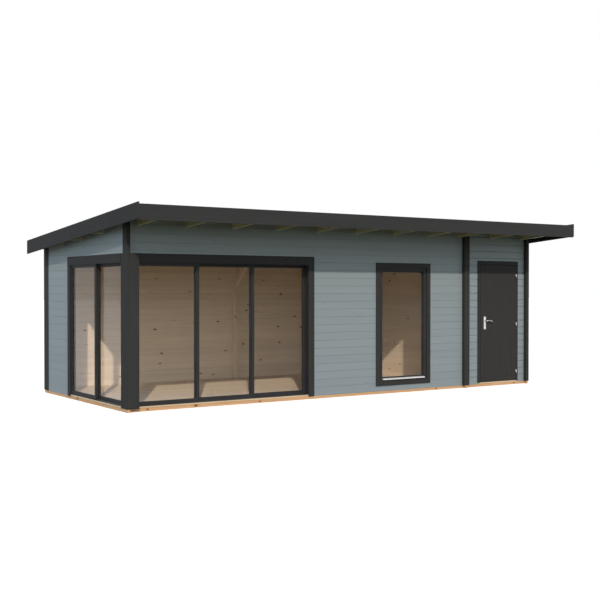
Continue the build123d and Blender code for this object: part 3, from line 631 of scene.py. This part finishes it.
# Roof sheet in strips along the eaves, with a step where two strips lap
sheetWork = {"strip": 0.92, "lap": 0.003}
stripCount = math.ceil((deckHigh.y - deckLow.y) / sheetWork["strip"])
stripEdges = deckLow.y + sheetWork["strip"] * np.arange(stripCount + 1)
stripEdges = np.minimum(stripEdges, deckHigh.y)
topY = np.stack((stripEdges[:-1], stripEdges[1:]), axis=1).ravel()
laps = np.tile(np.array((0.0, sheetWork["lap"])), stripCount)
topRise = deckWork["thickness"] + deckWork["covering"] - laps
outline = np.stack((
    np.concatenate((topY, [deckHigh.y, deckLow.y])),
    np.concatenate((topRise, [deckWork["thickness"]] * 2)),
), axis=1)
solid = onSlope(prism(outline, (deckLow.x, deckHigh.x), [1, 2], 0))
settle(meshPiece("roof_strips", solid, roofing), "building", "roof_sheet", "roof_covering")
print("floor and roof made")

# CAD nodes that keep their shape: each takes its finish, and its edges are eased by the
# width in metres
easeWork = {"weld": 0.00005, "segments": 2, "angle": 40.0}
finishes = (
    ("base_long_beams", baseAlongX, 0.002),
    ("base_cross_beams floor_joists", baseAlongY, 0.002),
    ("purlins", beamAlongX, 0.002),
    ("eaves_rafters", beamAlongY, 0.002),
    ("frame_tie knee_braces", pineBeam, 0.002),
    ("frame_posts", beamUpright, 0.002),
    ("fascia_boards", charcoalAlongX, 0.0015),
    ("verge_boards", charcoalAlongY, 0.0015),
    ("corner_post log_end_trims opening_casings", charcoalUpright, 0.0015),
    ("sills", sillWood, 0.001),
    ("slider_tracks", trackMetal, 0.0),
    ("slider_frames store_door_frame window_frame", frameCoat, 0.001),
    ("fixed_sashes front_middle_sash front_right_sash side_sliding_sash", frameCoat, 0.001),
    ("fixed_sash_glass front_middle_glass front_right_glass side_sliding_glass window_glass",
     glass, 0.0),
    ("window_weather_bar", whiteGloss, 0.0005),
    ("hinge_pins hinge_sockets", hingeSteel, 0.0005),
    ("handle_plates", whiteGloss, 0.001),
    ("door_levers", leverSteel, 0.0),
)
for names, material, edge in finishes:
    for name in names.split():
        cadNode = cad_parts[name]
        cadNode.data.materials.clear()
        cadNode.data.materials.append(material)
        if edge:
            weld = cadNode.modifiers.new("weld", "WELD")
            weld.merge_threshold = easeWork["weld"]
            ease = cadNode.modifiers.new("ease", "BEVEL")
            ease.width = edge
            ease.segments = easeWork["segments"]
            ease.limit_method = "ANGLE"
            ease.angle_limit = math.radians(easeWork["angle"])
print("solids dressed")

# Large dark knots on the face of the front base beam, each over a paler ring. The rim is an
# ellipse whose radius swells and shrinks two and three times round
knotWork = {
    "places": ((-3.365, 0.024), (-1.645, 0.022), (1.625, 0.024), (3.349, 0.026)),
    "across": 0.014, "up": 0.009, "ring": 1.45, "proud": 0.0003, "points": 24,
    "uneven": 0.09, "turnOn": 1.9,
}
knotPlaces = np.array(knotWork["places"])
turns = np.linspace(0.0, 2.0 * math.pi, knotWork["points"], endpoint=False)
phases = np.arange(len(knotPlaces))[:, None] * knotWork["turnOn"]
waves = np.sin(2.0 * turns + phases) + np.sin(3.0 * turns - phases)
swell = 1.0 + knotWork["uneven"] * waves
rimX = knotWork["across"] * np.cos(turns) * swell
rimZ = knotWork["up"] * np.sin(turns) * swell
knotEdge = np.stack((rimX, rimZ), axis=-1)
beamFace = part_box("base_long_beams")[0].y
knotPoints = []
for layer, size in enumerate((knotWork["ring"], 1.0), start=1):
    rims = (knotPlaces[:, None, :] + knotEdge * size).reshape(-1, 2)
    depth = np.full(len(rims), beamFace - layer * knotWork["proud"])
    knotPoints.append(np.stack((rims[:, 0], depth, rims[:, 1]), axis=1))
knotFaces = np.arange(2 * len(knotPlaces) * len(turns)).reshape(2 * len(knotPlaces), -1)
knots = meshPiece("base_knots", (np.concatenate(knotPoints), knotFaces))
paintFaces(knots, (knotRing, knotWood), np.repeat((0, 1), len(knotPlaces)))
settle(knots, "building", "base_timber")
print("base knots made")


def ring(name, low, high, section, toWorld, material):
    # A section carried round a rectangle with mitred corners. Section points are the reach
    # in from the edge and the depth behind the face
    section = np.array(section, float)
    signs = np.array(((1, 1), (-1, 1), (-1, -1), (1, -1)), float)
    corners = np.array(
        ((low[0], low[1]), (high[0], low[1]), (high[0], high[1]), (low[0], high[1])))
    flat = corners[:, None, :] + signs[:, None, :] * section[None, :, :1]
    depth = np.broadcast_to(section[None, :, 1], flat.shape[:2])
    points = toWorld(flat[..., 0].ravel(), flat[..., 1].ravel(), depth.ravel())
    count = len(section)
    row = np.arange(4 * count).reshape(4, count)
    nextRow = np.roll(row, -1, axis=0)
    faces = (row, np.roll(row, -1, axis=1), np.roll(nextRow, -1, axis=1), nextRow)
    return meshPiece(name, (points, np.stack(faces, axis=-1).reshape(-1, 4)), material)


def frontFace(y):
    # Across is x, and the depth goes back along y
    return lambda across, up, depth: np.stack((across, y + depth, up), axis=1)


def sideFace(x):
    # Across is y, and the depth goes to the right along x
    return lambda across, up, depth: np.stack((x + depth, across, up), axis=1)


# Store room door: V joints between upright boards, between two stiles and two rails. The
# cutters stand out of the face by the overcut
doorWork = {
    "stile": 0.105, "rail": 0.072, "boards": 6, "groove": 0.0012, "frameGroove": 0.003,
    "gap": 0.008, "overcut": 0.001,
}
leaf = mergedCopy("door_leaf")
leaf.name = "store_door_leaf"
leafLow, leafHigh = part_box("door_leaf")
leaf.data.materials.clear()
leaf.data.materials.append(doorPaint)
innerX = (leafLow.x + doorWork["stile"], leafHigh.x - doorWork["stile"])
innerZ = (leafLow.z + doorWork["rail"], leafHigh.z - doorWork["rail"])
jointX = np.linspace(innerX[0], innerX[1], doorWork["boards"] + 1)[1:-1]
jointZ = (innerZ[0] + doorWork["gap"], innerZ[1] - doorWork["gap"])
overcut = doorWork["overcut"]
for faceY, inward in ((leafLow.y, 1), (leafHigh.y, -1)):
    reach = doorWork["groove"]
    cutter = np.array(((-reach, -overcut), (reach, -overcut), (0.0, reach))) * (1, inward)
    cutters = [prism(cutter + (x, faceY), jointZ, [0, 1], 2) for x in jointX]
    leaf = carve(leaf, meshPiece("board joints", joined(cutters)), "DIFFERENCE")
    reach = doorWork["frameGroove"]
    section = np.array(((-reach, -overcut), (0.0, reach), (reach, -overcut))) * (1, inward)
    corners = (innerX[0], innerZ[0]), (innerX[1], innerZ[1])
    frameJoint = ring("frame joint", *corners, section, frontFace(faceY), doorPaint)
    leaf = carve(leaf, frameJoint, "DIFFERENCE")
settle(leaf, "store_door", "door_paint", "door_leaf")

# Keyhole and screws on the two handle plates. A keyhole is a round hole, open below between
# the two angles, over a straight foot
lockWork = {
    "keyholeDrop": 0.142, "keyholeRadius": 0.0055, "keyholeArc": (-65, 245),
    "keyholeFoot": (0.0022, 0.015), "flat": 0.0003, "screwReach": 0.014,
    "screwRadius": 0.0036, "screwHead": 0.0008, "slit": (0.0028, 0.0004), "points": 16,
}
plateLow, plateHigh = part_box("handle_plates")
plateMiddle = (plateLow.x + plateHigh.x) / 2
plateScrews = (plateHigh.z - lockWork["screwReach"], plateLow.z + lockWork["screwReach"])
arc = np.linspace(*np.radians(lockWork["keyholeArc"]), lockWork["points"])
hole = lockWork["keyholeRadius"] * np.stack((np.cos(arc), np.sin(arc)), axis=1)
foot = np.array(((-1, -1), (1, -1))) * lockWork["keyholeFoot"]
keyhole = np.concatenate((hole, foot)) + (plateMiddle, plateHigh.z - lockWork["keyholeDrop"])
turns = np.linspace(0.0, 2.0 * math.pi, lockWork["points"], endpoint=False)
screwRim = lockWork["screwRadius"] * np.stack((np.cos(turns), np.sin(turns)), axis=1)
slitRim = np.array(((-1, -1), (1, -1), (1, 1), (-1, 1))) * lockWork["slit"]
slitHeight = lockWork["screwHead"] + lockWork["flat"]
shapes = [(keyhole, lockWork["flat"], 0)]  # outline, height off the plate, material
for screwZ in plateScrews:
    shapes.append((screwRim + (plateMiddle, screwZ), lockWork["screwHead"], 1))
    shapes.append((slitRim + (plateMiddle, screwZ), slitHeight, 0))
for side, plateY, outward in (("outer", plateLow.y, -1), ("inner", plateHigh.y, 1)):
    solids = [prism(outline, (plateY, plateY + outward * height), [0, 2], 1)
              for outline, height, pick in shapes]
    picks = np.repeat(
        [pick for outline, height, pick in shapes], [len(faces) for points, faces in solids])
    lock = meshPiece("lock_" + side, joined(solids))
    paintFaces(lock, (gasketRubber, leverSteel), picks)
    settle(lock, "store_door", "lever_metal")
print("door boarded")

# Glazing beads and gaskets: a sloped bead on each face of a sash, with a rubber lip on the
# glass
sashWork = {
    "width": 0.9375, "foot": 0.075, "head": 1.951, "stile": 0.044, "rail": 0.046,
    "thickness": 0.036,
}
beadSection = ((0.0, 0.0035), (0.0008, 0.0035), (0.0026, 0.0085), (0.0026, 0.0109), (0.0, 0.0109))
lipSection = ((0.0027, 0.0092), (0.0048, 0.0100), (0.0048, 0.0109), (0.0027, 0.0109))
sashes = {  # body, the way it faces, its outer face and its left edge
    "front_fixed": ("building", frontFace, -1.2225, -3.533),
    "front_middle": ("middle_sash", frontFace, -1.1765, -2.6395),
    "front_right": ("right_sash", frontFace, -1.1305, -1.746),
    "side_fixed": ("building", sideFace, -3.6205, -1.1005),
    "side_sliding": ("side_sash", sideFace, -3.6665, -0.207),
}
glazing = (("bead", beadSection, frameCoat), ("lip", lipSection, gasketRubber))
for label, (body, facing, face, left) in sashes.items():
    low = (left + sashWork["stile"], sashWork["foot"] + sashWork["rail"])
    high = (left + sashWork["width"] - sashWork["stile"], sashWork["head"] - sashWork["rail"])
    layers = (("outer", 1, face), ("inner", -1, face + sashWork["thickness"]))
    for layer, flip, start in layers:
        for kind, section, material in glazing:
            name = label + "_" + layer + "_" + kind
            turned = np.array(section) * (1, flip)
            piece = ring(name, low, high, turned, facing(start), material)
            settle(piece, body, "charcoal_frame")

windowWork = {"frame": 0.0827, "foot": 0.0707}
frontSection = ((0.0, 0.0085), (0.001, 0.0085), (0.0025, 0.0105), (0.0025, 0.0119), (0.0, 0.0119))
backSection = ((0.0, 0.0361), (0.014, 0.0361), (0.014, 0.039), (0.004, 0.055), (0.0, 0.055))
windowLow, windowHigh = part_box("window_frame")
low = (windowLow.x + windowWork["frame"], windowLow.z + windowWork["foot"])
high = (windowHigh.x - windowWork["frame"], windowHigh.z - windowWork["frame"])
windowGlazing = (
    ("window_front_lip", frontSection, gasketRubber), ("window_back_bead", backSection, frameCoat))
for name, section, material in windowGlazing:
    piece = ring(name, low, high, section, frontFace(windowLow.y), material)
    settle(piece, "building", "charcoal_frame")
print("glazing beads made")

# Floor and light: a white floor that keeps the shadow, a low sun and a sky that is brightest
# near the horizon
studio = {
    "sunWay": (0.42, 0.731, -0.53),
    "sunPower": 2.1,
    "sunSpread": 0.02,
    "sunTone": (1.0, 0.87, 0.76),
    "horizon": (1.4, 1.42, 1.42, 1.0),
    "farHorizon": (0.85, 1.1, 1.3, 1.0),
    "horizonBlend": (-0.3, 0.3),
    "zenith": (0.34, 0.43, 0.66, 1.0),
    "zenithHeight": 0.85,
    "white": (1.0, 1.0, 1.0, 1.0),
    "floorReach": 120.0,
    "floorTone": (0.95, 0.9, 0.84, 1.0),
    "floorLift": 0.45,
    "floorBounce": (0.1, 0.09, 0.035, 1.0),
}


def showsGround(tree):
    # 1 for a ray that shows what is behind the building: straight, off gloss or through glass
    rays = addNode(tree, "ShaderNodeLightPath").outputs
    indirect = maths(tree, "MAXIMUM", rays["Is Glossy Ray"], rays["Is Transmission Ray"])
    return maths(tree, "MAXIMUM", rays["Is Camera Ray"], indirect)


corners = np.array(((-1, -1, 0), (1, -1, 0), (1, 1, 0), (-1, 1, 0))) * studio["floorReach"]
groundMaterial, tree, shader = newMaterial("ground")
ground = meshPiece("ground", (corners, [(0, 1, 2, 3)]), groundMaterial)
shader.inputs["Base Color"].default_value = studio["floorTone"]
shader.inputs["Roughness"].default_value = 1.0
shader.inputs["Specular IOR Level"].default_value = 0.0
shader.inputs["Emission Color"].default_value = studio["white"]
shader.inputs["Emission Strength"].default_value = studio["floorLift"]
dull = addNode(tree, "ShaderNodeBsdfDiffuse", {"Color": studio["floorBounce"]})
inputs = {0: showsGround(tree), 1: dull.outputs[0], 2: shader.outputs[0]}
floorMix = addNode(tree, "ShaderNodeMixShader", inputs)
tree.links.new(floorMix.outputs[0], tree.nodes["Material Output"].inputs["Surface"])

sunData = bpy.data.lights.new("sun", "SUN")
sunData.energy = studio["sunPower"]
sunData.angle = studio["sunSpread"]
sunData.color = studio["sunTone"]
sun = bpy.data.objects.new("sun", sunData)
scene.collection.objects.link(sun)
sun.rotation_euler = Vector(studio["sunWay"]).to_track_quat("-Z", "Y").to_euler()

world = bpy.data.worlds.new("studio")
scene.world = world
world.use_nodes = True
tree = world.node_tree
tree.nodes.clear()
way = addNode(tree, "ShaderNodeTexCoord").outputs["Generated"]
heading = addNode(tree, "ShaderNodeSeparateXYZ", {0: way})
climb = spread(tree, heading.outputs[2], (0.0, studio["zenithHeight"]))
turn = spread(tree, heading.outputs[1], studio["horizonBlend"])
around = mixColours(tree, turn, studio["horizon"], studio["farHorizon"])
skyTone = mixColours(tree, climb, around, studio["zenith"])
sky = addNode(tree, "ShaderNodeBackground", {"Color": skyTone, "Strength": 1.0})
backdrop = addNode(tree, "ShaderNodeBackground", {"Color": studio["white"], "Strength": 1.0})
inputs = {0: showsGround(tree), 1: sky.outputs[0], 2: backdrop.outputs[0]}
either = addNode(tree, "ShaderNodeMixShader", inputs)
addNode(tree, "ShaderNodeOutputWorld", {0: either.outputs[0]})
print("light set")
